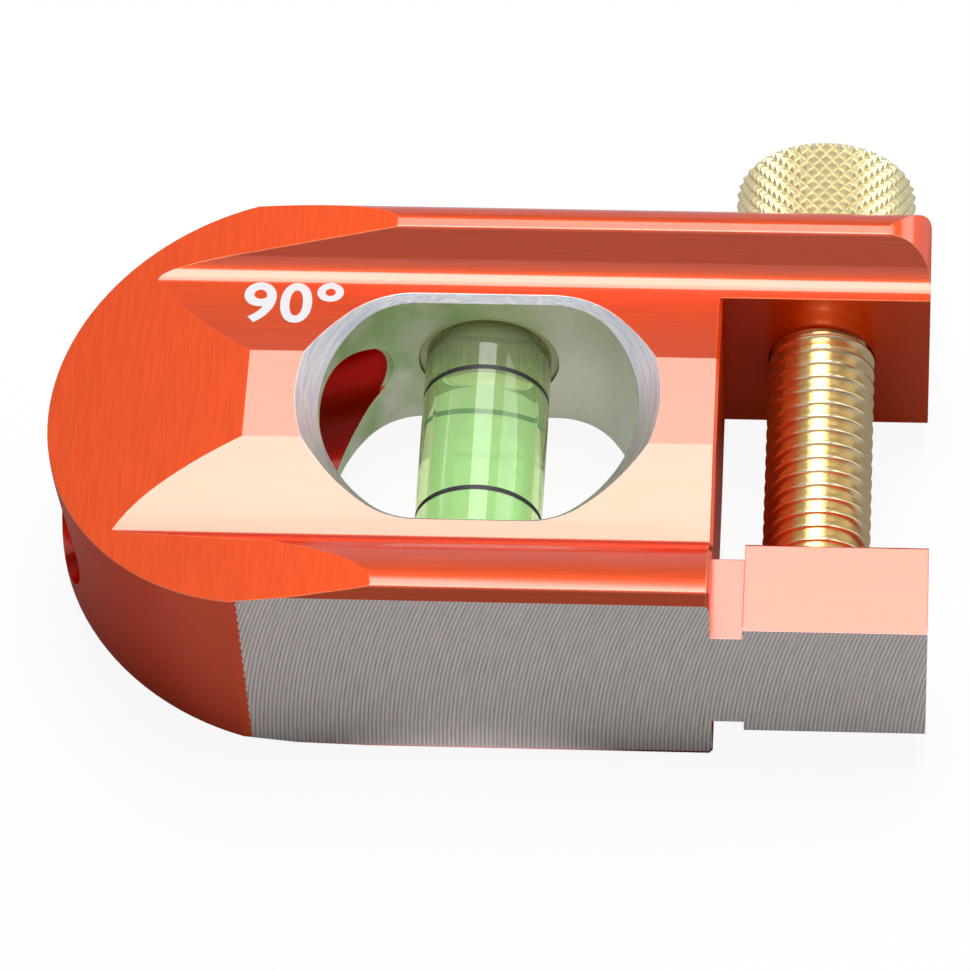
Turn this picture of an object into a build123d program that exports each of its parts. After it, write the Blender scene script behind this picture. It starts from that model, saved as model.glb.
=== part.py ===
"""Pocket spirit level: a sculpted aluminium block with a vial, a lanyard bore and a clamping thumb screw.

The level lies on its side. +X runs from the round nose to the jaw, +Y from the milled base to the
knurled head of the screw, and +Z up. The origin is on the surface it lies on, under the middle of the
whole level. All lengths are in millimetres.
"""

import os
from math import asin, cos, degrees, radians, sin, tan

from build123d import *

# One length that every cut runs past the faces it leaves through
overrun = 2.0

# Block, measured from the vial's axis along X, from the milled base along Y and from the side it lies on
body_thickness = 20.8
body_height = 36.45
body_reach = 17.75
nose_radius = 18.6
nose_reach = 13.4
nose_slope = 9.0
nose_crease_reach = 6.7

# Section across the block, from the base: bevel, rounded rail, slope, hollow, raised flat
bevel_rise = 0.5
bevel_drop = 1.02
front_flat_width = 0.4
front_rail_radius = 8.2
front_rail_width = 4.34
front_groove_rise = 7.05
flat_front_rise = 14.9
groove_depth = 3.1
front_groove_rounding = 0.4
front_hollow_sag = 0.22
flat_depth = 1.65
small_rounding = 0.3

# The rest of the section, from the back face: hollow, rounded groove, slope, flat rail, rounding
flat_back_inset = 13.65
back_groove_inset = 5.3
back_groove_depth = 2.95
back_groove_rounding = 2.2
back_hollow_sag = 0.15
back_crest_inset = 3.07
back_rounding = 2.25

# Tapped arm, neck and jaw
arm_reach = 33.25
arm_depth = 7.15
arm_end_rounding = 3.2
neck_length = 2.35
neck_thickness = 10.7
neck_height = 7.05
jaw_overhang = 0.2
jaw_thickness = 12.85
jaw_height = 7.8
edge_break = 0.25

# Sight window: a circle with two flats and rounded corners, its middle a share of the block's height
window_radius = 11.87
window_rise_share = 0.53
window_front_flat = 10.37
window_back_flat = 9.4
window_corner_radius = 5.5
window_chamfer_start = 3.3
window_chamfer_angle = 45.0

# Lanyard bore, leaning towards the base at the nose and rounded where it stops short of the vial
lanyard_radius = 6.0
lanyard_angle = 18.0
lanyard_offset = 23.5
lanyard_end = 0.6
lanyard_end_rounding = 2.4

# Vial
vial_radius = 4.75
vial_seat_radius = 5.3
vial_front_seat = 3.35
vial_back_inset = 3.45
vial_chamfer = 0.3
spirit_end_radius = 2.2
spirit_middle_radius = 2.35
spirit_front_wall = 2.4
plug_radius = 2.9
plug_length = 2.0
bubble_length = 5.2
bubble_end_gap = 0.3
bubble_film = 0.1
bubble_taper = 0.9
line_inset = 0.2
line_spacing = 11.1
line_width = 0.4
line_depth = 0.12
seat_ring_length = 2.4
seat_ring_recess = 0.3
cap_thickness = 1.6
cap_recess = 0.4

# Thumb screw
screw_radius = 4.0
screw_clearance = 0.05
screw_share = 0.4774
screw_tip_gap = 0.3
screw_tip_chamfer = 0.7
head_radius = 6.87
head_gap = 0.5
head_length = 8.15
head_rim_chamfer = 0.25

# Places worked out from the sizes above
arm_inner_rise = body_height - arm_depth
jaw_start_reach = body_reach + neck_length
jaw_reach = arm_reach + jaw_overhang
head_front_rise = body_height + head_gap
head_end_rise = head_front_rise + head_length
nose_tip_reach = nose_reach + nose_radius
vial_x = (nose_tip_reach - jaw_reach) / 2
base_y = -head_end_rise / 2
mid_z = body_thickness / 2
body_end_x = vial_x + body_reach
nose_tip_x = vial_x - nose_tip_reach
nose_crease_x = vial_x - nose_crease_reach
arm_end_x = vial_x + arm_reach
jaw_start_x = vial_x + jaw_start_reach
screw_x = body_end_x + (arm_end_x - body_end_x) * screw_share
window_rise = body_height * window_rise_share
window_y = base_y + window_rise
window_front_rise = window_rise - window_front_flat
window_back_rise = window_rise + window_back_flat
vial_front_rise = window_front_rise - vial_front_seat
block_length = arm_end_x - nose_tip_x
mid_plane = Plane.XY.offset(mid_z)


def along_y(rise):
    """Plane square to the vial and the screw, at a height above the base, facing +Y."""
    return Plane(origin=(vial_x, base_y + rise, mid_z), x_dir=(1, 0, 0), z_dir=(0, 1, 0))


# The section's corners and the low points of its two hollows, in rise and in height above the middle
half = body_thickness / 2
front_rail_start = bevel_rise + front_flat_width
front_rail_angle = degrees(asin(front_rail_width / front_rail_radius))
front_groove = (front_groove_rise, half - groove_depth)
flat_front = (flat_front_rise, half - flat_depth)
flat_back = (body_height - flat_back_inset, half - flat_depth)
back_groove = (body_height - back_groove_inset, half - back_groove_depth)
back_crest = (body_height - back_crest_inset, half)
front_hollow = (
    (front_groove_rise + flat_front_rise) / 2,
    half - (groove_depth + flat_depth) / 2 - front_hollow_sag,
)
back_hollow = (
    body_height - (flat_back_inset + back_groove_inset) / 2,
    half - (back_groove_depth + flat_depth) / 2 - back_hollow_sag,
)
section_roundings = [
    ((bevel_rise, half), small_rounding),
    (front_groove, front_groove_rounding),
    (back_groove, back_groove_rounding),
    (back_crest, small_rounding),
    ((body_height, half), back_rounding),
]

# The block is made as its upper half, then mirrored about its middle plane
with BuildPart() as level_body:
    # Grooved section, run the whole length
    with BuildSketch(Plane(origin=(nose_tip_x, base_y, mid_z), x_dir=(0, 1, 0), z_dir=(1, 0, 0))) as section:
        with BuildLine():
            front = Polyline(
                (0, 0),
                (0, half - bevel_drop),
                (bevel_rise, half),
                (front_rail_start, half),
            )
            rail = CenterArc(
                (front_rail_start, half - front_rail_radius),
                radius=front_rail_radius,
                start_angle=90,
                arc_size=-front_rail_angle,
            )
            Line(rail @ 1, front_groove)
            ThreePointArc(front_groove, front_hollow, flat_front)
            Line(flat_front, flat_back)
            ThreePointArc(flat_back, back_hollow, back_groove)
            Polyline(back_groove, back_crest, (body_height, half), (body_height, 0), (0, 0))
        make_face()
        for corner, rounding in section_roundings:
            fillet(section.vertices().sort_by_distance(corner)[0], radius=rounding)
    extrude(amount=block_length)

    # Side outline: the nose slopes down from the crease, and the arm ends in a round corner
    back_plane = Plane(origin=(0, base_y + body_height, mid_z), x_dir=(1, 0, 0), z_dir=(0, -1, 0))
    nose_drop = (nose_crease_x - nose_tip_x) * tan(radians(nose_slope))
    with BuildSketch(back_plane):
        with BuildLine():
            top = FilletPolyline(
                (nose_tip_x, 0),
                (nose_tip_x, half - nose_drop),
                (nose_crease_x, half),
                (arm_end_x, half),
                (arm_end_x, 0),
                radius=[0, 0, arm_end_rounding],
            )
            Line(top @ 1, top @ 0)
        make_face()
    extrude(amount=body_height, mode=Mode.INTERSECT)

    # Plan outline: round nose, square end, and the arm along the back
    with BuildSketch(mid_plane):
        with Locations((vial_x - nose_reach, base_y + body_height / 2)):
            Circle(nose_radius)
        with Locations((body_end_x, base_y)):
            Rectangle(
                body_reach + nose_reach,
                body_height,
                align=(Align.MAX, Align.MIN),
            )
        with Locations((body_end_x, base_y + body_height)):
            Rectangle(
                arm_reach - body_reach,
                arm_depth,
                align=(Align.MIN, Align.MAX),
            )
    extrude(amount=half, mode=Mode.INTERSECT)

    # Light break along the upper edges of the block's end
    end_face = level_body.faces().filter_by(Plane.YZ).sort_by(Axis.X)[-2]
    end_edges = end_face.edges().filter_by(Axis.Z, reverse=True).sort_by(Axis.Z)
    chamfer(end_edges[1:], length=edge_break)

    # Neck and jaw, both centred on the middle plane, standing on the base
    base_plane = Plane(origin=(0, base_y, mid_z), x_dir=(1, 0, 0), z_dir=(0, 1, 0))
    with BuildSketch(base_plane):
        with Locations((body_end_x, 0)):
            Rectangle(
                neck_length,
                neck_thickness / 2,
                align=(Align.MIN, Align.MAX),
            )
    extrude(amount=neck_height)
    with BuildSketch(base_plane):
        with Locations((jaw_start_x, 0)):
            Rectangle(
                jaw_reach - jaw_start_reach,
                jaw_thickness / 2,
                align=(Align.MIN, Align.MAX),
            )
    extrude(amount=jaw_height)
    jaw_top = level_body.faces().filter_by(Axis.Z).sort_by(Axis.X)[-1]
    chamfer(jaw_top.edges().sort_by(Axis.Y)[-1], length=edge_break)

    mirror(about=mid_plane)

    # Sight window, with a tapered edge on both sides
    with BuildSketch() as window:
        with Locations((vial_x, window_y)):
            Circle(window_radius)
        with Locations((vial_x, base_y + window_front_rise)):
            Rectangle(
                window_radius * 2,
                window_front_flat + window_back_flat,
                align=(Align.CENTER, Align.MIN),
                mode=Mode.INTERSECT,
            )
        fillet(window.vertices(), radius=window_corner_radius)
    extrude(amount=body_thickness, mode=Mode.SUBTRACT)
    extrude(
        window.sketch.moved(Location((0, 0, body_thickness - window_chamfer_start))),
        amount=window_chamfer_start,
        taper=-window_chamfer_angle,
        mode=Mode.SUBTRACT,
    )
    extrude(
        window.sketch.moved(Location((0, 0, window_chamfer_start))),
        amount=-window_chamfer_start,
        taper=-window_chamfer_angle,
        mode=Mode.SUBTRACT,
    )

    # One bore for the vial, drilled from the back face and stopping in the base wall
    with BuildSketch(along_y(vial_front_rise)):
        Circle(vial_seat_radius)
    extrude(amount=body_height - vial_front_rise + overrun, mode=Mode.SUBTRACT)

    # Lanyard bore, from outside the nose into the window: half its outline, turned about its axis
    lean = radians(lanyard_angle)
    lanyard_start = nose_tip_reach + overrun
    lanyard_stop = lanyard_end + lanyard_end_rounding
    lanyard_wall = lanyard_offset + lanyard_radius
    lanyard_plane = Plane(
        origin=(vial_x, base_y, mid_z),
        x_dir=(cos(lean), sin(lean), 0),
        z_dir=(0, 0, 1),
    )
    with BuildSketch(lanyard_plane):
        with BuildLine():
            lanyard_side = FilletPolyline(
                (-lanyard_start, lanyard_offset),
                (-lanyard_start, lanyard_wall),
                (lanyard_stop, lanyard_wall),
                (lanyard_stop, lanyard_offset),
                radius=[0, lanyard_end_rounding],
            )
            Line(lanyard_side @ 1, lanyard_side @ 0)
        make_face()
    lanyard_middle = lanyard_plane.from_local_coords((0, lanyard_offset, 0))
    revolve(axis=Axis(lanyard_middle, lanyard_plane.x_dir), mode=Mode.SUBTRACT)

    # Hole through the arm for the screw
    with BuildSketch(along_y(arm_inner_rise - overrun)):
        with Locations((screw_x - vial_x, 0)):
            Circle(screw_radius + screw_clearance)
    extrude(amount=arm_depth + overrun * 2, mode=Mode.SUBTRACT)

# Vial: a clear barrel, spirit, bubble, plug, and two lines sunk in the barrel's outside
vial_back_rise = body_height - vial_back_inset
spirit_front_rise = vial_front_rise + spirit_front_wall
spirit_back_rise = vial_back_rise - plug_length
spirit_middle_rise = (spirit_front_rise + spirit_back_rise) / 2
bubble_back_rise = spirit_back_rise - bubble_end_gap
bubble_front_rise = bubble_back_rise - bubble_length
bubble_radius = spirit_end_radius - bubble_film
line_middle_rise = window_rise - line_inset
line_rises = {
    "front": line_middle_rise - line_spacing / 2,
    "rear": line_middle_rise + line_spacing / 2,
}
vial_plane = Plane(origin=(vial_x, base_y, mid_z), x_dir=(1, 0, 0), z_dir=(0, 0, 1))
vial_axis = Axis((vial_x, base_y, mid_z), (0, 1, 0))


def spirit_profile():
    """Half of the barrel's inside, a little wider in the middle so that the bubble settles there."""
    front_corner = (spirit_end_radius, spirit_front_rise)
    back_corner = (spirit_end_radius, spirit_back_rise)
    with BuildSketch(vial_plane) as profile:
        with BuildLine():
            ThreePointArc(front_corner, (spirit_middle_radius, spirit_middle_rise), back_corner)
            Polyline(back_corner, (0, spirit_back_rise), (0, spirit_front_rise), front_corner)
        make_face()
    return profile.sketch


def bubble_profile():
    """Half of the bubble, tapered at both ends, nearly as wide as the barrel's inside."""
    with BuildSketch(vial_plane) as profile:
        with BuildLine():
            Polyline(
                (0, bubble_front_rise),
                (bubble_radius - bubble_taper, bubble_front_rise),
                (bubble_radius, bubble_front_rise + bubble_taper),
                (bubble_radius, bubble_back_rise - bubble_taper),
                (bubble_radius - bubble_taper, bubble_back_rise),
                (0, bubble_back_rise),
                close=True,
            )
        make_face()
    return profile.sketch


with BuildPart() as vial_barrel:
    with BuildSketch(along_y(vial_front_rise)):
        Circle(vial_radius)
    extrude(amount=vial_back_rise - vial_front_rise)
    chamfer(vial_barrel.edges().filter_by(GeomType.CIRCLE), length=vial_chamfer)
    revolve(spirit_profile(), axis=vial_axis, mode=Mode.SUBTRACT)
    with BuildSketch(along_y(spirit_back_rise)):
        Circle(plug_radius)
    extrude(amount=plug_length, mode=Mode.SUBTRACT)
    for rise in line_rises.values():
        with BuildSketch(along_y(rise - line_width / 2)):
            Circle(vial_radius)
            Circle(vial_radius - line_depth, mode=Mode.SUBTRACT)
        extrude(amount=line_width, mode=Mode.SUBTRACT)

with BuildPart() as vial_liquid:
    revolve(spirit_profile(), axis=vial_axis)
    revolve(bubble_profile(), axis=vial_axis, mode=Mode.SUBTRACT)

with BuildPart() as vial_bubble:
    revolve(bubble_profile(), axis=vial_axis)

with BuildPart() as vial_plug:
    with BuildSketch(along_y(spirit_back_rise)):
        Circle(plug_radius)
    extrude(amount=plug_length)

vial_lines = {}
for place, rise in line_rises.items():
    with BuildPart() as vial_line:
        with BuildSketch(along_y(rise - line_width / 2)):
            Circle(vial_radius)
            Circle(vial_radius - line_depth, mode=Mode.SUBTRACT)
        extrude(amount=line_width)
    vial_lines["vial_line_" + place] = vial_line

# Sealant between the barrel and its bore, just inside each wall of the window
seat_ring_rises = {
    "front": window_front_rise - seat_ring_recess - seat_ring_length,
    "rear": window_back_rise + seat_ring_recess,
}
seat_rings = {}
for place, rise in seat_ring_rises.items():
    with BuildPart() as seat_ring:
        with BuildSketch(along_y(rise)):
            Circle(vial_seat_radius)
            Circle(vial_radius, mode=Mode.SUBTRACT)
        extrude(amount=seat_ring_length)
    seat_rings["seat_ring_" + place] = seat_ring

# Disc pressed into the bore behind the vial, a little below the back face
with BuildPart() as vial_cap:
    with BuildSketch(along_y(body_height - cap_recess - cap_thickness)):
        Circle(vial_seat_radius)
    extrude(amount=cap_thickness)
    chamfer(vial_cap.edges().sort_by(Axis.Y)[-1], length=edge_break)

# Thumb screw, closed on the jaw but for a small gap: half its outline, turned about its axis
screw_tip_rise = jaw_height + screw_tip_gap
with BuildPart() as thumb_screw:
    with BuildSketch(Plane(origin=(screw_x, base_y, mid_z), x_dir=(1, 0, 0), z_dir=(0, 0, 1))):
        with BuildLine():
            Polyline(
                (0, screw_tip_rise),
                (screw_radius - screw_tip_chamfer, screw_tip_rise),
                (screw_radius, screw_tip_rise + screw_tip_chamfer),
                (screw_radius, head_front_rise),
                (head_radius - head_rim_chamfer, head_front_rise),
                (head_radius, head_front_rise + head_rim_chamfer),
                (head_radius, head_end_rise - head_rim_chamfer),
                (head_radius - head_rim_chamfer, head_end_rise),
                (0, head_end_rise),
                close=True,
            )
        make_face()
    revolve(axis=Axis((screw_x, base_y, mid_z), (0, 1, 0)))

os.makedirs("parts", exist_ok=True)
pieces = {
    "level_body": level_body,
    "vial_barrel": vial_barrel,
    "vial_liquid": vial_liquid,
    "vial_bubble": vial_bubble,
    "vial_plug": vial_plug,
    "vial_cap": vial_cap,
    "thumb_screw": thumb_screw,
    **vial_lines,
    **seat_rings,
}
for name, piece in pieces.items():
    piece.part.label = name
    export_step(piece.part, f"parts/{name}.step")
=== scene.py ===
"""Pocket spirit level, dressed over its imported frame. Metres, in the frame of the CAD model."""
from math import cos, pi, radians, sin

import bmesh
import bpy
from mathutils import Matrix, Vector


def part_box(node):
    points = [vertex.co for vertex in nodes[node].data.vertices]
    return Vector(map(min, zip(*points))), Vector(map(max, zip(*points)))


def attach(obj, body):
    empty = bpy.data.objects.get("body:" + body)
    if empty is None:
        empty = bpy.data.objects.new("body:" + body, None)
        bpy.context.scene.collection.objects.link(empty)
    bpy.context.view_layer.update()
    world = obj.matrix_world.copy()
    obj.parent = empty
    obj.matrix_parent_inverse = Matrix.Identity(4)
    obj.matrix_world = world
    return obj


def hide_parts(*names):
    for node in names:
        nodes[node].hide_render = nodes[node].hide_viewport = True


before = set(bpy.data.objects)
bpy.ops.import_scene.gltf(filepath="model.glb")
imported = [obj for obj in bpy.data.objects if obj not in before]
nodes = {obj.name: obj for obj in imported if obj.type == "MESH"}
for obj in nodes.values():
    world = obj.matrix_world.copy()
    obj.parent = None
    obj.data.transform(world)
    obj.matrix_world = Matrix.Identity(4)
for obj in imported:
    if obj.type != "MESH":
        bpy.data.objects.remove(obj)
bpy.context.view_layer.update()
MM = 0.001

# Places read from the frame
vial_low, vial_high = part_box("vial_barrel")
vial_radius = (vial_high.x - vial_low.x) / 2
vial_axis = Vector(((vial_low.x + vial_high.x) / 2, 0, (vial_low.z + vial_high.z) / 2))
body_low, body_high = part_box("level_body")
screw_low, screw_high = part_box("thumb_screw")
screw_axis = Vector(((screw_low.x + screw_high.x) / 2, 0, (screw_low.z + screw_high.z) / 2))
middle = (body_low + body_high) / 2
base_y = body_low.y

# Sizes of the block that its materials follow, from the vial's axis and the base
window_rise = 19.32 * MM
window_radius = 11.87 * MM
window_front_flat = 10.37 * MM
window_back_flat = 9.4 * MM
window_chamfer_start = 3.3 * MM
half_thickness = middle.z - body_low.z
lanyard_radius = 6.0 * MM
lanyard_lean = radians(18)
lanyard_offset = 23.5 * MM
lanyard_end = 0.6 * MM
lanyard_end_length = 2.5 * MM
base_border = -16.4 * MM
border_tooth = 0.9 * MM
border_depth = 0.16 * MM
cutter_radius = 64.0 * MM
cutter_step = 0.31 * MM
vial_bore_radius = 5.3 * MM
edge_rounding = 0.13 * MM

# The vial and the screw, where the frame's boxes don't say
vial_chamfer = 0.3 * MM
line_groove_depth = 0.1 * MM
spirit_end_radius = 2.2 * MM
spirit_middle_radius = 2.35 * MM
screw_radius = 4.0 * MM
screw_tip_chamfer = 0.7 * MM
head_gap = 0.5 * MM
head_rim_chamfer = 0.25 * MM


class Graph:
    """A material's nodes, written as calls that return sockets."""

    def __init__(self, material):
        self.tree = material.node_tree
        self.tree.nodes.clear()

    def node(self, kind, **settings):
        made = self.tree.nodes.new(kind)
        for name, value in settings.items():
            setattr(made, name, value)
        return made

    def put(self, target, value):
        if isinstance(value, bpy.types.NodeSocket):
            self.tree.links.new(value, target)
        else:
            target.default_value = value

    def math(self, operation, *values):
        made = self.node("ShaderNodeMath", operation=operation)
        for target, value in zip(made.inputs, values):
            self.put(target, value)
        return made.outputs[0]

    def add(self, a, b):
        return self.math("ADD", a, b)

    def subtract(self, a, b):
        return self.math("SUBTRACT", a, b)

    def multiply(self, a, b):
        return self.math("MULTIPLY", a, b)

    def larger(self, a, b):
        return self.math("MAXIMUM", a, b)

    def combine(self, x, y, z):
        made = self.node("ShaderNodeCombineXYZ")
        for target, value in zip(made.inputs, (x, y, z)):
            self.put(target, value)
        return made.outputs[0]

    def split(self, vector):
        made = self.node("ShaderNodeSeparateXYZ")
        self.put(made.inputs[0], vector)
        return made.outputs

    def place(self):
        return self.node("ShaderNodeTexCoord").outputs["Object"]

    def noise(self, vector, scale, detail=2.0, roughness=0.5, distortion=0.0):
        made = self.node("ShaderNodeTexNoise")
        self.put(made.inputs["Distortion"], distortion)
        self.put(made.inputs["Vector"], vector)
        self.put(made.inputs["Scale"], scale)
        self.put(made.inputs["Detail"], detail)
        self.put(made.inputs["Roughness"], roughness)
        return made.outputs["Fac"]

    def stretch(self, vector, scale):
        made = self.node("ShaderNodeVectorMath", operation="MULTIPLY")
        self.put(made.inputs[0], vector)
        self.put(made.inputs[1], scale)
        return made.outputs[0]

    def mix(self, factor, a, b):
        """Blend of two colours."""
        made = self.node("ShaderNodeMix", data_type="RGBA")
        self.put(made.inputs["Factor"], factor)
        self.put(made.inputs["A"], a)
        self.put(made.inputs["B"], b)
        return made.outputs["Result"]

    def blend(self, factor, a, b):
        """Blend of two numbers."""
        made = self.node("ShaderNodeMix", data_type="FLOAT")
        self.put(made.inputs[0], factor)
        self.put(made.inputs[2], a)
        self.put(made.inputs[3], b)
        return made.outputs[0]

    def blend_vector(self, factor, a, b):
        made = self.node("ShaderNodeMix", data_type="VECTOR")
        self.put(made.inputs[0], factor)
        self.put(made.inputs[4], a)
        self.put(made.inputs[5], b)
        return made.outputs[1]

    def above(self, value, limit):
        return self.math("GREATER_THAN", value, limit)

    def below(self, value, limit):
        return self.math("LESS_THAN", value, limit)

    def ramp(self, value, low, high):
        """0 at low, 1 at high, and straight between them."""
        made = self.node("ShaderNodeMapRange")
        self.put(made.inputs["Value"], value)
        self.put(made.inputs["From Min"], low)
        self.put(made.inputs["From Max"], high)
        return made.outputs["Result"]

    def both(self, a, b):
        """1 where both masks are 1, or a mask made weaker by a number."""
        return self.multiply(a, b)

    def length(self, a, b):
        """Length of the vector with these two parts."""
        return self.math("SQRT", self.add(self.multiply(a, a), self.multiply(b, b)))

    def bump(self, height, distance, strength=1.0, normal=None):
        made = self.node("ShaderNodeBump")
        self.put(made.inputs["Height"], height)
        self.put(made.inputs["Distance"], distance)
        self.put(made.inputs["Strength"], strength)
        if normal:
            self.put(made.inputs["Normal"], normal)
        return made.outputs["Normal"]

    def shade(self, factor, a, b):
        """Blend of two surfaces."""
        made = self.node("ShaderNodeMixShader")
        self.put(made.inputs[0], factor)
        self.put(made.inputs[1], a)
        self.put(made.inputs[2], b)
        return made.outputs[0]

    def surface(self, **inputs):
        shader = self.node("ShaderNodeBsdfPrincipled")
        for name, value in inputs.items():
            self.put(shader.inputs[name.replace("_", " ")], value)
        return shader.outputs[0]

    def finish(self, surface, kind="ShaderNodeOutputMaterial"):
        out = self.node(kind)
        self.put(out.inputs["Surface"], surface)


def new_material(name):
    material = bpy.data.materials.new(name)
    material.use_nodes = True
    return material


def dress(name, material):
    """Gives a CAD node its finish."""
    nodes[name].data.materials.clear()
    nodes[name].data.materials.append(material)


# Materials
def anodised_block():
    """Orange anodised aluminium over machining marks, bare on the base, the window and the vial's bore, with
    painted shade in the bores, painted highlight and shade on the edges and a painted green reflection on the
    window's wall.
    """
    material = new_material("anodised_block")
    g = Graph(material)
    place = g.place()
    x, y, z = g.split(place)
    true_normal = g.node("ShaderNodeNewGeometry").outputs["True Normal"]
    normal = g.split(true_normal)
    reach = g.subtract(x, vial_axis.x)
    rise = g.subtract(y, base_y)
    up = g.subtract(z, vial_axis.z)
    upright = g.math("ABSOLUTE", normal[2])

    # Base face, bare up to a toothed border near the nose
    teeth = g.multiply(g.math("FRACT", g.multiply(z, 1 / border_tooth)), border_depth)
    faces_base = g.both(g.below(rise, 0.02 * MM), g.below(normal[1], -0.9))
    on_base = g.both(faces_base, g.above(g.add(reach, teeth), base_border))

    # Wall and tapered edge of the window
    side_rise = g.subtract(rise, window_rise)
    radial = g.length(reach, side_rise)
    past_flats = g.larger(
        g.subtract(side_rise, window_back_flat),
        g.subtract(-window_front_flat, side_rise),
    )
    out_of_window = g.larger(g.subtract(radial, window_radius), past_flats)
    on_wall = g.both(g.below(out_of_window, 0.03 * MM), g.below(upright, 0.4))
    chamfer_reach = g.subtract(g.math("ABSOLUTE", up), half_thickness - window_chamfer_start)
    on_chamfer = g.below(g.subtract(out_of_window, chamfer_reach), 0.06 * MM)
    on_chamfer = g.both(on_chamfer, g.both(g.below(upright, 0.85), g.above(upright, 0.5)))
    in_window = g.larger(on_wall, on_chamfer)

    # Lanyard bore, with its rounded end, and the vial's bore
    lean_cos, lean_sin = cos(lanyard_lean), sin(lanyard_lean)
    from_lean = g.subtract(g.multiply(rise, lean_cos), g.multiply(reach, lean_sin))
    across = g.subtract(from_lean, lanyard_offset)
    along = g.add(g.multiply(reach, lean_cos), g.multiply(rise, lean_sin))
    near_lanyard = g.below(g.length(across, up), lanyard_radius + 0.03 * MM)
    in_tube = g.both(near_lanyard, g.below(along, lanyard_end))
    near_end = g.both(near_lanyard, g.below(along, lanyard_end + lanyard_end_length))
    in_end = g.both(near_end, g.above(out_of_window, 0.012 * MM))
    in_lanyard = g.both(g.larger(in_tube, in_end), g.below(reach, -5.0 * MM))
    near_vial = g.below(g.length(reach, up), vial_bore_radius + 0.03 * MM)
    behind_flats = g.both(g.above(past_flats, 0.02 * MM), g.above(rise, 1.0 * MM))
    in_vial_bore = g.both(near_vial, behind_flats)
    is_bare = g.larger(g.both(in_window, g.subtract(1.0, in_lanyard)), in_vial_bore)

    # Brushing runs along Y on the nose and along X elsewhere
    on_nose = g.larger(g.ramp(normal[0], -0.02, -0.12), g.below(normal[1], -0.95))
    tangent = g.blend_vector(on_nose, (1, 0, 0), (0, 1, 0))
    along_x = g.noise(g.stretch(place, (160, 6500, 6500)), 1.0, 4.0, 0.6)
    along_y = g.noise(g.stretch(place, (6500, 250, 6500)), 1.0, 4.0, 0.6)
    streaks = g.blend(on_nose, along_x, along_y)
    ripples = g.noise(g.stretch(place, (700, 3200, 3200)), 1.0, 3.0, 0.5, 0.8)
    patches = g.noise(place, 90.0, 3.0)

    # Rounded edges, found where a bevelled normal leaves the true one
    bevel = g.node("ShaderNodeBevel", samples=6)
    g.put(bevel.inputs["Radius"], edge_rounding)
    off_edge = g.node("ShaderNodeVectorMath", operation="DOT_PRODUCT")
    g.put(off_edge.inputs[0], bevel.outputs[0])
    g.put(off_edge.inputs[1], true_normal)
    edge = g.ramp(off_edge.outputs["Value"], 0.985, 0.93)

    orange = g.mix(g.ramp(streaks, 0.3, 0.7), (0.76, 0.072, 0.001, 1), (0.92, 0.100, 0.003, 1))
    orange = g.mix(g.both(patches, 0.4), orange, (0.74, 0.064, 0.001, 1))
    on_jaw = g.both(g.above(reach, 17.8 * MM), g.below(rise, 9.0 * MM))
    # Painted highlight and painted shade on the edges, broken up in patches: pale peach along most crests and
    # dark red on the jaw's edges; on the jaw next to the base the edge is pale lilac.
    jaw_edge = g.mix(g.below(rise, 0.4 * MM), (0.55, 0.05, 0.002, 1), (0.9, 0.88, 1.0, 1))
    edge_painted_light = g.mix(on_jaw, (0.98, 0.42, 0.20, 1), jaw_edge)
    orange = g.mix(g.both(edge, g.ramp(patches, 0.2, 0.6)), orange, edge_painted_light)
    # Painted shade: the lanyard bore and its rounded end are darkened to a deep red.
    orange = g.mix(in_lanyard, orange, (0.40, 0.006, 0.001, 1))
    relief = g.add(streaks, g.multiply(ripples, 1.2))
    coat_of_slope = g.blend(g.ramp(upright, 0.2, 0.6), 0.45, 1.0)
    coat_of_place = g.blend(g.larger(in_lanyard, g.both(on_jaw, edge)), 1.0, 0.1)
    anodised = g.surface(
        Base_Color=orange,
        Metallic=1.0,
        Roughness=g.blend(streaks, 0.46, 0.58),
        Anisotropic=0.6,
        Tangent=tangent,
        Coat_Weight=g.both(coat_of_slope, coat_of_place),
        Specular_Tint=(1.0, 0.3, 0.08, 1),
        Coat_Roughness=0.14,
        Coat_IOR=1.75,
        Normal=g.bump(relief, 0.004 * MM, 0.6, bevel.outputs[0]),
    )

    # Arcs that the cutter leaves across the base, one for each step of its feed
    arc_height = g.subtract(z, body_low.z - 0.5 * MM)
    swing = g.math("SQRT", g.subtract(cutter_radius ** 2, g.multiply(arc_height, arc_height)))
    feed = g.add(x, swing)
    wave = g.math("SINE", g.multiply(feed, 2 * pi / cutter_step))
    scratches = g.noise(g.combine(g.multiply(feed, 9000.0), g.multiply(z, 300.0), 0.0), 1.0, 4.0)
    cut_marks = g.add(g.multiply(wave, 0.35), scratches)
    milled_colour = g.mix(g.ramp(cut_marks, 0.05, 0.95), (0.48, 0.435, 0.42, 1), (0.95, 0.86, 0.84, 1))
    milled = g.surface(
        Base_Color=milled_colour,
        Metallic=1.0,
        Roughness=0.45,
        Normal=g.bump(cut_marks, 0.02 * MM, 0.5, bevel.outputs[0]),
    )

    # Bare turned metal: bright on the tapered edge, duller on the wall, with painted shade darkening the
    # vial's bore
    turn = g.math("ARCTAN2", side_rise, reach)
    ring_place = g.combine(g.multiply(radial, 7000.0), g.multiply(z, 7000.0), g.multiply(turn, 4.0))
    rings = g.noise(ring_place, 1.0, 4.0, 0.6)
    bright = g.mix(g.ramp(rings, 0.35, 0.65), (0.66, 0.72, 0.84, 1), (1.0, 1.0, 1.0, 1))
    dull = g.mix(g.ramp(rings, 0.3, 0.7), (0.88, 0.86, 0.77, 1), (1.0, 0.98, 0.90, 1))
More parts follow.
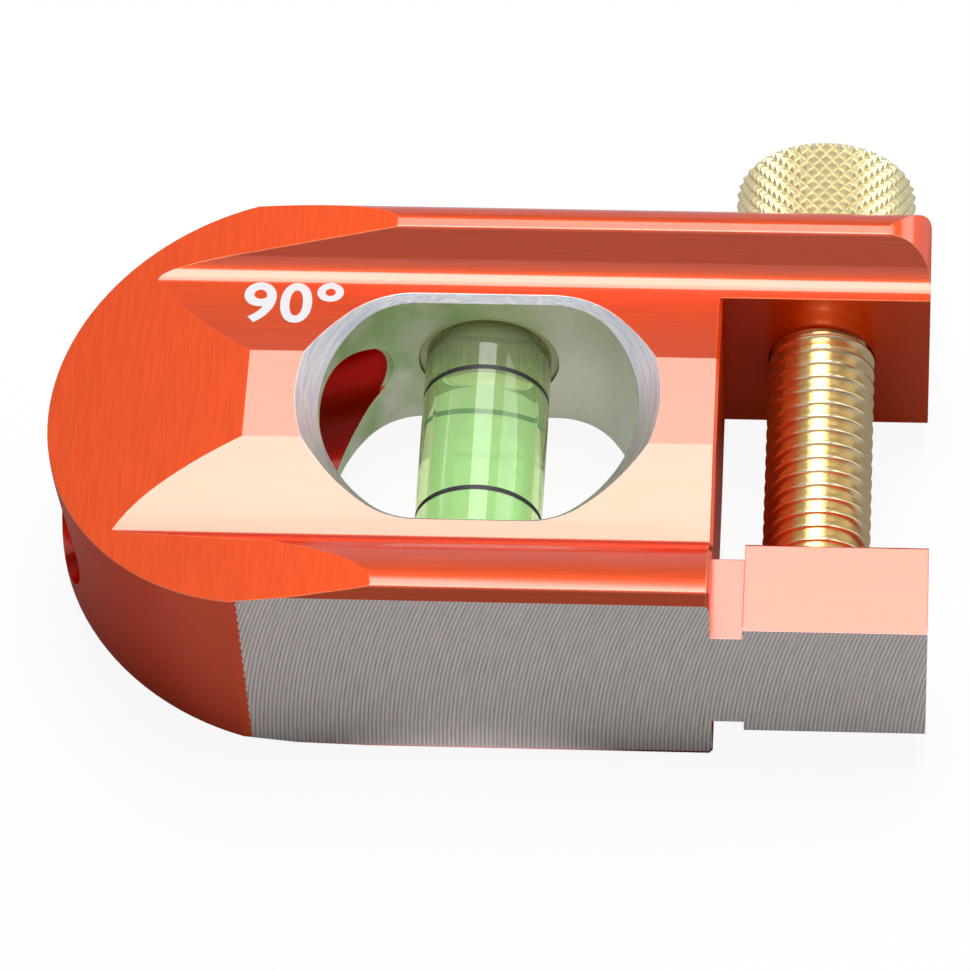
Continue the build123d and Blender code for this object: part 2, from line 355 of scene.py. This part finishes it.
    # Painted reflection: the vial's green cast on the wall towards its left, in the metal's colour
    painted_green_reflection = g.both(g.ramp(g.noise(place, 260.0, 2.0), 0.35, 0.65), g.ramp(reach, 6 * MM, -4 * MM))
    dull = g.mix(painted_green_reflection, dull, (0.50, 0.68, 0.36, 1))
    # Painted shade: the vial's bore is darkened to a dark brown.
    dull = g.mix(in_vial_bore, dull, (0.22, 0.13, 0.05, 1))
    bare = g.surface(
        Base_Color=g.mix(on_chamfer, dull, bright),
        Metallic=g.blend(on_chamfer, 0.25, 0.9),
        Roughness=g.blend(on_chamfer, 0.45, 0.36),
        Anisotropic=0.5,
        Tangent=g.combine(g.multiply(side_rise, -1.0), reach, 0.0),
        Normal=g.bump(rings, 0.006 * MM, 0.6, bevel.outputs[0]),
    )
    g.finish(g.shade(is_bare, g.shade(on_base, anodised, milled), bare))
    return material


def brass():
    """Bare brass, golden on the thread and paler on the head."""
    material = new_material("brass")
    g = Graph(material)
    place = g.place()
    x, y, z = g.split(place)
    radial = g.length(g.subtract(x, screw_axis.x), g.subtract(z, screw_axis.z))
    on_head = g.above(y, body_high.y + 0.2 * MM)
    marks = g.noise(g.combine(g.both(radial, 3000.0), g.both(y, 9000.0), 0.0), 1.0, 3.0)
    stain = g.noise(place, 500.0, 3.0)
    gold = g.mix(marks, (0.88, 0.68, 0.36, 1), (0.95, 0.82, 0.54, 1))
    pale = g.mix(stain, (0.70, 0.62, 0.36, 1), (0.90, 0.83, 0.55, 1))
    g.finish(g.surface(
        Base_Color=g.mix(on_head, gold, pale),
        Metallic=1.0,
        Roughness=g.blend(on_head, g.blend(marks, 0.18, 0.26), 0.4),
        Normal=g.bump(marks, 0.003 * MM, 0.3),
    ))
    return material


def clear(name, colour, ior, shadow, transmission=1.0):
    """Clear and tinted; the light that passes it takes its tint."""
    material = new_material(name)
    g = Graph(material)
    glass = g.surface(Base_Color=colour, Roughness=0.0, IOR=ior, Transmission_Weight=transmission)
    passing = g.node("ShaderNodeBsdfTransparent")
    g.put(passing.inputs[0], shadow)
    is_shadow = g.node("ShaderNodeLightPath").outputs["Is Shadow Ray"]
    g.finish(g.shade(is_shadow, glass, passing.outputs[0]))
    return material


def plain(name, colour, roughness, below_axis_painted_tint=None):
    """One colour with faint marks; a second colour, where given, is painted on what lies below the vial's
    axis, for how that side looks through the spirit.
    """
    material = new_material(name)
    g = Graph(material)
    marks = g.noise(g.place(), 900.0, 2.0)
    if below_axis_painted_tint:
        colour = g.mix(g.below(g.split(g.place())[2], vial_axis.z), colour, below_axis_painted_tint)
    g.finish(g.surface(Base_Color=colour, Roughness=g.blend(marks, roughness * 0.9, roughness * 1.1)))
    return material


# Meshes
# The printed angle in mm: each character's left, right, foot and top, from the vial's axis and the base
ANGLE_MARK = (
    ("9", -18.05, -15.6, 25.85, 30.05),
    ("0", -15.3, -12.9, 25.85, 30.05),
    ("°", -12.6, -10.6, 28.15, 30.1),
)


def make_object(name, mesh, material, smooth_angle=None):
    mesh.materials.append(material)
    if smooth_angle:
        mesh.shade_smooth()
        mesh.set_sharp_from_angle(angle=radians(smooth_angle))
    made = bpy.data.objects.new(name, mesh)
    bpy.context.scene.collection.objects.link(made)
    return made


def turned(name, profile, material, centre, segments=128, smooth_angle=35):
    """A closed solid turned about an axis along Y; the profile is (radius, y) from one end to the other."""
    points = []
    for radius, y in profile:
        for step in range(segments):
            turn = 2 * pi * step / segments
            points.append((centre.x + radius * sin(turn), y, centre.z + radius * cos(turn)))
    faces = []
    for row in range(len(profile) - 1):
        for step in range(segments):
            after = (step + 1) % segments
            a, b = row * segments + step, row * segments + after
            faces.append((a, b, b + segments, a + segments))
    faces.append(tuple(range(segments - 1, -1, -1)))
    last = (len(profile) - 1) * segments
    faces.append(tuple(range(last, last + segments)))
    mesh = bpy.data.meshes.new(name)
    mesh.from_pydata(points, [], faces)
    tidy_mesh(mesh)
    return make_object(name, mesh, material, smooth_angle)


def tidy_mesh(mesh):
    """Merges doubled points and turns every face outwards."""
    work = bmesh.new()
    work.from_mesh(mesh)
    bmesh.ops.remove_doubles(work, verts=work.verts, dist=1e-7)
    bmesh.ops.recalc_face_normals(work, faces=work.faces)
    work.to_mesh(mesh)
    work.free()


def thread_radius(phase, major, depth):
    """Radius across one pitch of the thread: a flat crest, straight flanks and a rounded root."""
    crest, flank, root = 0.125, 0.354, 0.167
    if phase < crest:
        edge = min(phase, crest - phase) / crest
        return major - 0.03 * MM * (1 - min(edge * 5, 1))
    if phase < crest + flank:
        return major - depth * (phase - crest) / flank
    if phase < crest + flank + root:
        dip = (phase - crest - flank) / root
        return major - depth - 0.05 * MM * sin(pi * dip)
    return major - depth * (1 - phase) / flank


def add_thread(work, centre, low, high, major, tip_chamfer):
    """Right-hand M8 thread along Y, cut square at both ends."""
    pitch, depth = 1.25 * MM, 0.767 * MM
    columns = 96
    crest_rows = [0, 0.02, 0.105, 0.125]
    phases = crest_rows + [0.21, 0.3, 0.39, 0.479, 0.52, 0.5625, 0.605, 0.646, 0.735, 0.82, 0.91]
    turns = int((high - low) / pitch) + 3
    grid = []
    for turn in range(turns):
        for phase in phases:
            row = []
            for column in range(columns + 1):
                share = column / columns
                y = low + (turn - 1.5 + phase + share) * pitch
                at_tip = major - tip_chamfer + max(y - low, -tip_chamfer)
                radius = min(thread_radius(phase, major, depth), at_tip)
                angle = 2 * pi * share
                spot = (centre.x + radius * sin(angle), y, centre.z + radius * cos(angle))
                row.append(work.verts.new(spot))
            grid.append(row)
    for lower, upper in zip(grid, grid[1:]):
        for column in range(columns):
            work.faces.new((lower[column], lower[column + 1], upper[column + 1], upper[column]))
    bmesh.ops.remove_doubles(work, verts=work.verts, dist=1e-7)
    for level, outward in ((low, -1), (high, 1)):
        bmesh.ops.bisect_plane(
            work,
            geom=work.verts[:] + work.edges[:] + work.faces[:],
            plane_co=(0, level, 0),
            plane_no=(0, outward, 0),
            clear_outer=True,
        )
    bmesh.ops.holes_fill(work, edges=[e for e in work.edges if e.is_boundary])


def add_knurled_head(work, centre, low, high, radius, chamfer):
    """Diamond knurl: pyramids left between two crossing sets of spiral grooves."""
    around, along = 42, 1.2 * MM
    steps = 10
    depth = 0.36 * MM
    columns = around * steps
    rows = int(round((high - low) / (along / steps)))
    rings = []
    for row in range(rows + 1):
        y = low + (high - low) * row / rows
        end_gap = min(y - low, high - y)
        ring = []
        for column in range(columns):
            a = column / steps + (y - low) / along
            b = column / steps - (y - low) / along
            ridge = 2 * min(abs(a - round(a)), abs(b - round(b)))
            outer = radius - depth * (1 - min(ridge * 1.12, 1.0))
            outer = min(outer, radius - chamfer + end_gap)
            angle = 2 * pi * column / columns
            ring.append(work.verts.new((centre.x + outer * sin(angle), y, centre.z + outer * cos(angle))))
        rings.append(ring)
    sides = []
    for lower, upper in zip(rings, rings[1:]):
        for column in range(columns):
            after = (column + 1) % columns
            sides.append(work.faces.new((lower[column], lower[after], upper[after], upper[column])))
    bmesh.ops.poke(work, faces=sides)
    for ring in (rings[0], rings[-1]):
        inner = []
        for corner in ring:
            out = Vector((corner.co.x - centre.x, 0, corner.co.z - centre.z)).normalized()
            spot = centre + out * (radius - depth - chamfer)
            inner.append(work.verts.new((spot.x, ring[0].co.y, spot.z)))
        for column in range(columns):
            after = (column + 1) % columns
            work.faces.new((ring[column], ring[after], inner[after], inner[column]))
        work.faces.new(inner)


def make_screw(material):
    """The threaded shank, run a little way into the knurled head."""
    head_front = body_high.y + head_gap
    head_radius = (screw_high.x - screw_low.x) / 2
    work = bmesh.new()
    add_thread(work, screw_axis, screw_low.y, head_front + 0.2 * MM, screw_radius, screw_tip_chamfer)
    add_knurled_head(work, screw_axis, head_front, screw_high.y, head_radius, head_rim_chamfer)
    bmesh.ops.recalc_face_normals(work, faces=work.faces)
    mesh = bpy.data.meshes.new("thumb_screw_cut")
    work.to_mesh(mesh)
    work.free()
    screw = make_object("thumb_screw_cut", mesh, material, 28)
    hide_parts("thumb_screw")
    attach(screw, "screw")


def rounded_ends(low, high, radius, rounding, steps=8):
    """Profile of a rod with rounded ends."""
    profile = []
    for step in range(steps + 1):
        turn = pi / 2 * step / steps
        profile.append((radius - rounding + rounding * sin(turn), low + rounding - rounding * cos(turn)))
    for step in range(steps + 1):
        turn = pi / 2 * step / steps
        profile.append((radius - rounding + rounding * cos(turn), high - rounding + rounding * sin(turn)))
    return profile


def make_vial():
    """The barrel, spirit and bubble as nested surfaces that light bends at, and the plug."""
    line_low, line_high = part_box("vial_line_front")
    rear_low, rear_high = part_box("vial_line_rear")
    liquid_low, liquid_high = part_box("vial_liquid")
    bubble_low, bubble_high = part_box("vial_bubble")
    groove = vial_radius - line_groove_depth
    profile = [(vial_radius - vial_chamfer, vial_low.y), (vial_radius, vial_low.y + vial_chamfer)]
    for low, high in ((line_low.y, line_high.y), (rear_low.y, rear_high.y)):
        profile += [(vial_radius, low), (groove, low), (groove, high), (vial_radius, high)]
    profile += [(vial_radius, vial_high.y - vial_chamfer), (vial_radius - vial_chamfer, vial_high.y)]
    clear_barrel = clear("clear_barrel", (0.58, 0.70, 0.38, 1), 1.49, (0.82, 0.95, 0.68, 1), 0.75)
    barrel = turned("vial_barrel_clear", profile, clear_barrel, vial_axis, 160)
    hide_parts("vial_barrel")
    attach(barrel, "level")

    # Each index is for the step from the piece around it; the bubble's is nearer 1 than the real step
    steps = 24
    profile = []
    for step in range(steps + 1):
        share = step / steps
        y = liquid_low.y + (liquid_high.y - liquid_low.y) * share
        bulge = (spirit_middle_radius - spirit_end_radius) * (1 - (2 * share - 1) ** 2)
        profile.append((spirit_end_radius + bulge, y))
    green_spirit = clear("green_spirit", (0.62, 0.94, 0.62, 1), 0.975, (0.9, 1.0, 0.85, 1))
    spirit = turned("vial_spirit", profile, green_spirit, vial_axis, 96)
    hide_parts("vial_liquid")
    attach(spirit, "level")

    radius = (bubble_high.x - bubble_low.x) / 2
    profile = rounded_ends(bubble_low.y, bubble_high.y, radius, 0.7 * MM)
    # Painted reflection: the bubble's pale pink tint stands in for the orange bore seen through the air.
    air_with_painted_reflection = clear("bubble", (1.0, 0.80, 0.70, 1), 0.93, (1, 1, 1, 1))
    bubble = turned("vial_air", profile, air_with_painted_reflection, vial_axis, 96)
    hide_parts("vial_bubble")
    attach(bubble, "bubble")

    plug_low, plug_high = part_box("vial_plug")
    radius = (plug_high.x - plug_low.x) / 2
    profile = [(radius, plug_low.y + 0.1 * MM), (radius, plug_high.y - 0.1 * MM)]
    clear_plug = plain("clear_plug", (0.72, 0.42, 0.34, 1), 0.35)
    plug = turned("vial_end_plug", profile, clear_plug, vial_axis, 96)
    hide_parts("vial_plug")
    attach(plug, "level")


def glyph(work, character, left, right, foot, top):
    """Adds one printed character, stretched into its place."""
    curve = bpy.data.curves.new("glyph", "FONT")
    curve.body = character
    curve.offset = 0.022
    curve.resolution_u = 6
    source = bpy.data.objects.new("glyph", curve)
    bpy.context.scene.collection.objects.link(source)
    bpy.context.view_layer.update()
    mesh = bpy.data.meshes.new_from_object(source.evaluated_get(bpy.context.evaluated_depsgraph_get()))
    bpy.data.objects.remove(source)
    bpy.data.curves.remove(curve)
    known = len(work.verts)
    work.from_mesh(mesh)
    bpy.data.meshes.remove(mesh)
    work.verts.ensure_lookup_table()
    fresh = work.verts[known:]
    low = [min(v.co[i] for v in fresh) for i in (0, 1)]
    high = [max(v.co[i] for v in fresh) for i in (0, 1)]
    for v in fresh:
        v.co.x = left + (v.co.x - low[0]) / (high[0] - low[0]) * (right - left)
        v.co.y = foot + (v.co.y - low[1]) / (high[1] - low[1]) * (top - foot)
        v.co.z = 0


def make_angle_mark(material):
    """The angle printed on the long hollow beside the window, laid on its surface."""
    work = bmesh.new()
    for character, left, right, foot, top in ANGLE_MARK:
        sides = (vial_axis.x + left * MM, vial_axis.x + right * MM)
        glyph(work, character, *sides, base_y + foot * MM, base_y + top * MM)
    bmesh.ops.remove_doubles(work, verts=work.verts, dist=1e-7)
    rows = 16
    for row in range(1, rows):
        level = base_y + (25.5 + 5.0 * row / rows) * MM
        bmesh.ops.bisect_plane(
            work,
            geom=work.verts[:] + work.edges[:] + work.faces[:],
            plane_co=(0, level, 0),
            plane_no=(0, 1, 0),
        )
    block = nodes["level_body"]
    into = block.matrix_world.inverted()
    for v in work.verts:
        top = Vector((v.co.x, v.co.y, body_high.z + 5 * MM))
        _, spot, _, _ = block.ray_cast(into @ top, into.to_3x3() @ Vector((0, 0, -1)))
        v.co.z = (block.matrix_world @ spot).z + 0.012 * MM
    mesh = bpy.data.meshes.new("angle_mark")
    work.to_mesh(mesh)
    work.free()
    mark = make_object("angle_mark", mesh, material)
    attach(mark, "level")


def build_pieces():
    dress("level_body", anodised_block())
    make_screw(brass())
    make_vial()
    make_angle_mark(plain("white_print", (0.76, 0.76, 0.78, 1), 0.45))
    dress("seat_ring_front", plain("sealant_front", (0.88, 0.86, 0.60, 1), 0.3))
    dress("seat_ring_rear", plain("sealant_rear", (0.88, 0.86, 0.60, 1), 0.3))
    # Painted light: below the vial's axis the lines are teal, standing in for their far side seen through the
    # green spirit.
    black = plain("black_line", (0.02, 0.02, 0.02, 1), 0.5, (0.01, 0.24, 0.16, 1))
    dress("vial_line_front", black)
    dress("vial_line_rear", black)
    dress("vial_cap", plain("bare_cap", (0.6, 0.6, 0.6, 1), 0.4))


# Camera, from the photograph's measured view: its place from the vial's axis, the base and the floor
CAMERA_RIGHT = Vector((0.997713, 0.053714, -0.041031))
CAMERA_UP = Vector((-0.019581, 0.810693, 0.585134))
CAMERA_LENS = 242.25


def make_camera():
    data = bpy.data.cameras.new("camera")
    data.lens = CAMERA_LENS
    data.sensor_width = 36.0
    data.clip_start = 0.01
    data.clip_end = 20.0
    camera = bpy.data.objects.new("camera", data)
    bpy.context.scene.collection.objects.link(camera)
    back = CAMERA_RIGHT.cross(CAMERA_UP).normalized()
    turn = Matrix((CAMERA_RIGHT, CAMERA_UP, back)).transposed()
    place = Vector((vial_axis.x + 31.878 * MM, base_y - 267.307 * MM, body_low.z + 405.515 * MM))
    camera.matrix_world = Matrix.Translation(place) @ turn.to_4x4()
    bpy.context.scene.camera = camera


def area_light(name, place, target, width, height, watts):
    data = bpy.data.lights.new(name, "AREA")
    data.shape = "RECTANGLE"
    data.size = width
    data.size_y = height
    data.energy = watts
    lamp = bpy.data.objects.new(name, data)
    bpy.context.scene.collection.objects.link(lamp)
    lamp.location = place
    lamp.rotation_mode = "QUATERNION"
    lamp.rotation_quaternion = (Vector(target) - Vector(place)).to_track_quat("-Z", "Y")


def make_world():
    """White to the camera and through clear pieces; mirrored rays see it dimmer high in front and behind."""
    world = bpy.data.worlds.new("studio")
    bpy.context.scene.world = world
    world.use_nodes = True
    g = Graph(world)
    path = g.node("ShaderNodeLightPath")
    seen = g.larger(path.outputs["Is Camera Ray"], path.outputs["Is Transmission Ray"])
    direction = g.split(g.node("ShaderNodeTexCoord").outputs["Generated"])
    ahead = g.blend(g.ramp(direction[2], 0.2, 0.55), 0.25, 1.0)
    behind = g.blend(g.ramp(direction[2], 0.3, 0.6), 1.0, 0.4)
    mirrored = g.blend(g.ramp(direction[1], -0.6, 0.3), ahead, behind)
    strength = g.blend(path.outputs["Is Glossy Ray"], 0.25, mirrored)
    background = g.node("ShaderNodeBackground")
    g.put(background.inputs["Strength"], g.blend(seen, strength, 1.0))
    g.finish(background.outputs[0], "ShaderNodeOutputWorld")


def make_floor():
    """White with a shadow to the camera and through clear pieces; mirrored rays see painted patches of light
    on it.
    """
    material = new_material("floor")
    g = Graph(material)
    path = g.node("ShaderNodeLightPath")
    seen = g.larger(path.outputs["Is Camera Ray"], path.outputs["Is Transmission Ray"])
    glow = g.node("ShaderNodeEmission")
    diffuse = g.node("ShaderNodeBsdfDiffuse")
    g.put(diffuse.inputs["Color"], g.mix(seen, (0.30, 0.30, 0.30, 1), (0.9, 0.9, 0.9, 1)))
    x, y, _ = g.split(g.place())
    # Painted light: glowing patches seen only by mirrored rays, under the window, ahead of the object and
    # behind it.
    from_window = g.length(g.subtract(x, vial_axis.x), g.subtract(y, base_y + window_rise - 6 * MM))
    in_front = g.both(g.ramp(y, -22 * MM, -28 * MM), 0.28)
    painted_floor_glow = g.larger(in_front, g.ramp(from_window, 18 * MM, 11 * MM))
    painted_floor_glow = g.larger(painted_floor_glow, g.both(g.ramp(y, 26 * MM, 36 * MM), 0.6))
    mirrored = g.both(path.outputs["Is Glossy Ray"], painted_floor_glow)
    g.finish(g.shade(g.larger(g.both(seen, 0.92), mirrored), diffuse.outputs[0], glow.outputs[0]))
    mesh = bpy.data.meshes.new("floor")
    reach = 3.0
    level = body_low.z - 0.01 * MM
    corners = [(-reach, -reach, level), (reach, -reach, level), (reach, reach, level), (-reach, reach, level)]
    mesh.from_pydata(corners, [], [(0, 1, 2, 3)])
    mesh.materials.append(material)
    floor = bpy.data.objects.new("floor", mesh)
    bpy.context.scene.collection.objects.link(floor)


build_pieces()
bpy.context.scene.view_settings.view_transform = "Standard"
make_world()
make_floor()
make_camera()
area_light("overhead", (0.015, 0.096, 0.6), (0.015, 0.096, 0), 0.34, 0.312, 2.6)
area_light("overhead_back", (0.015, 0.361, 0.6), (0.015, 0.361, 0), 0.34, 0.218, 1.3)
area_light("side", (0.42, 0.40, 0.36), (0, 0, 0), 0.14, 0.40, 0.42)
